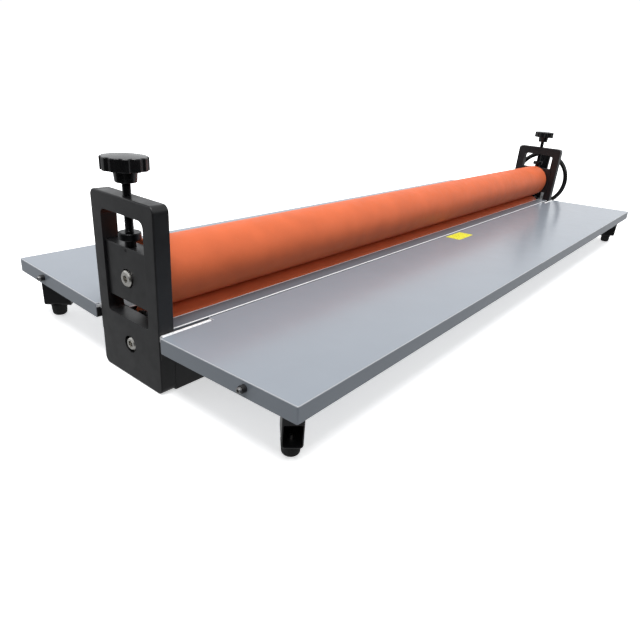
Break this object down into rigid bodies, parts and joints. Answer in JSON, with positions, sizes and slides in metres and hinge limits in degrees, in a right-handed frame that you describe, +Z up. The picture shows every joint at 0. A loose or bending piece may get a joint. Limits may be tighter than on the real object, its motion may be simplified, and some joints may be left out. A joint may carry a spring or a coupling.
{
  "type": "cold roll laminator",
  "caption": "Manual cold roll laminator: silicone-sleeved rollers between uprights, screw-adjusted nip, hand wheel drive and fold-up feed tables front and rear.",
  "frame": {"origin": "on the floor under the middle of the base, midway between the uprights", "axes": "+X along the rollers towards the hand wheel, -Y to the front feed table, +Z up"},
  "size_m": [1.488, 0.533, 0.2627],
  "materials": {
    "black_paint": "satin powder coat",
    "table_paint": "satin powder coat",
    "silicone": "matte",
    "steel": "turned",
    "bearing_steel": "ground",
    "zinc": "bright zinc plate",
    "stainless": "satin",
    "black_oxide": "black oxide",
    "black_plastic": "fine moulded texture",
    "black_rubber": "matte",
    "yellow_label": "gloss film"
  },
  "bodies": {
    "root": {"left_upright": "black_paint", "right_upright": "black_paint", "base_channel": "black_paint", "base_screws": "black_oxide", "front_guide_strip": "table_paint", "rear_guide_strip": "table_paint", "guide_strip_screws": "stainless", "lower_outer_rings": "bearing_steel", "lower_bearing_balls": "bearing_steel", "front_left_fixed_leaf": "zinc", "front_right_fixed_leaf": "zinc", "rear_left_fixed_leaf": "zinc", "rear_right_fixed_leaf": "zinc", "hinge_pins": "zinc", "hinge_screws": "zinc"},
    "upper_carriage": {"left_bearing_block": "black_paint", "right_bearing_block": "black_paint", "upper_outer_rings": "bearing_steel", "upper_bearing_balls": "bearing_steel", "block_grub_screws": "black_oxide"},
    "left_knob": {"left_adjusting_screw": "black_oxide", "left_collar_nut": "black_oxide", "left_star_knob": "black_plastic"},
    "right_knob": {"right_adjusting_screw": "black_oxide", "right_collar_nut": "black_oxide", "right_star_knob": "black_plastic"},
    "upper_roller": {"upper_sleeve": "silicone", "upper_roller_tube": "steel", "upper_stub_shafts": "steel", "upper_inner_rings": "bearing_steel", "upper_end_screw": "stainless", "wheel_nut": "stainless", "grip_spindle": "stainless", "hand_wheel": "black_plastic"},
    "wheel_grip": {"wheel_grip": "black_plastic"},
    "lower_roller": {"lower_sleeve": "silicone", "lower_roller_tube": "steel", "lower_stub_shafts": "steel", "lower_inner_rings": "bearing_steel", "lower_end_screws": "stainless"},
    "front_table": {"front_table": "table_paint", "front_table_studs": "stainless", "front_foot_screws": "stainless", "front_left_moving_leaf": "zinc", "front_left_foot_bracket": "black_paint", "front_left_rubber_foot": "black_rubber", "front_right_moving_leaf": "zinc", "front_right_foot_bracket": "black_paint", "front_right_rubber_foot": "black_rubber", "table_label": "yellow_label"},
    "rear_table": {"rear_table": "table_paint", "rear_table_studs": "stainless", "rear_foot_screws": "stainless", "rear_left_moving_leaf": "zinc", "rear_left_foot_bracket": "black_paint", "rear_left_rubber_foot": "black_rubber", "rear_right_moving_leaf": "zinc", "rear_right_foot_bracket": "black_paint", "rear_right_rubber_foot": "black_rubber"}
  },
  "joints": [
    {"name": "upper_lift", "type": "slide", "parent": "root", "child": "upper_carriage", "axis": [0, 0, 1], "range_m": [0, 0.015]},
    {"name": "left_knob_turn", "type": "hinge", "parent": "upper_carriage", "child": "left_knob", "pos_m": [-0.668, 0, 0.2], "axis": [0, 0, 1], "range_deg": [0, 3600]},
    {"name": "right_knob_turn", "type": "hinge", "parent": "upper_carriage", "child": "right_knob", "pos_m": [0.668, 0, 0.2], "axis": [0, 0, 1], "range_deg": [0, 3600]},
    {"name": "upper_roller_spin", "type": "hinge", "parent": "upper_carriage", "child": "upper_roller", "pos_m": [0, 0, 0.1275], "axis": [1, 0, 0], "continuous": true},
    {"name": "lower_roller_spin", "type": "hinge", "parent": "root", "child": "lower_roller", "pos_m": [0, 0, 0.0455], "axis": [1, 0, 0], "continuous": true},
    {"name": "grip_spin", "type": "hinge", "parent": "upper_roller", "child": "wheel_grip", "pos_m": [0.76, 0, 0.0715], "axis": [1, 0, 0], "continuous": true},
    {"name": "front_table_fold", "type": "hinge", "parent": "root", "child": "front_table", "pos_m": [0, -0.0621, 0.0756], "axis": [-1, 0, 0], "range_deg": [0, 88]},
    {"name": "rear_table_fold", "type": "hinge", "parent": "root", "child": "rear_table", "pos_m": [0, 0.0621, 0.0756], "axis": [1, 0, 0], "range_deg": [0, 88]}
  ],
  "couplings": [
    {"joint": "left_knob_turn", "follows": "upper_lift", "rad_per_m": 4188.8},
    {"joint": "right_knob_turn", "follows": "upper_lift", "rad_per_m": 4188.8},
    {"joint": "lower_roller_spin", "follows": "upper_roller_spin", "ratio": -1}
  ]
}
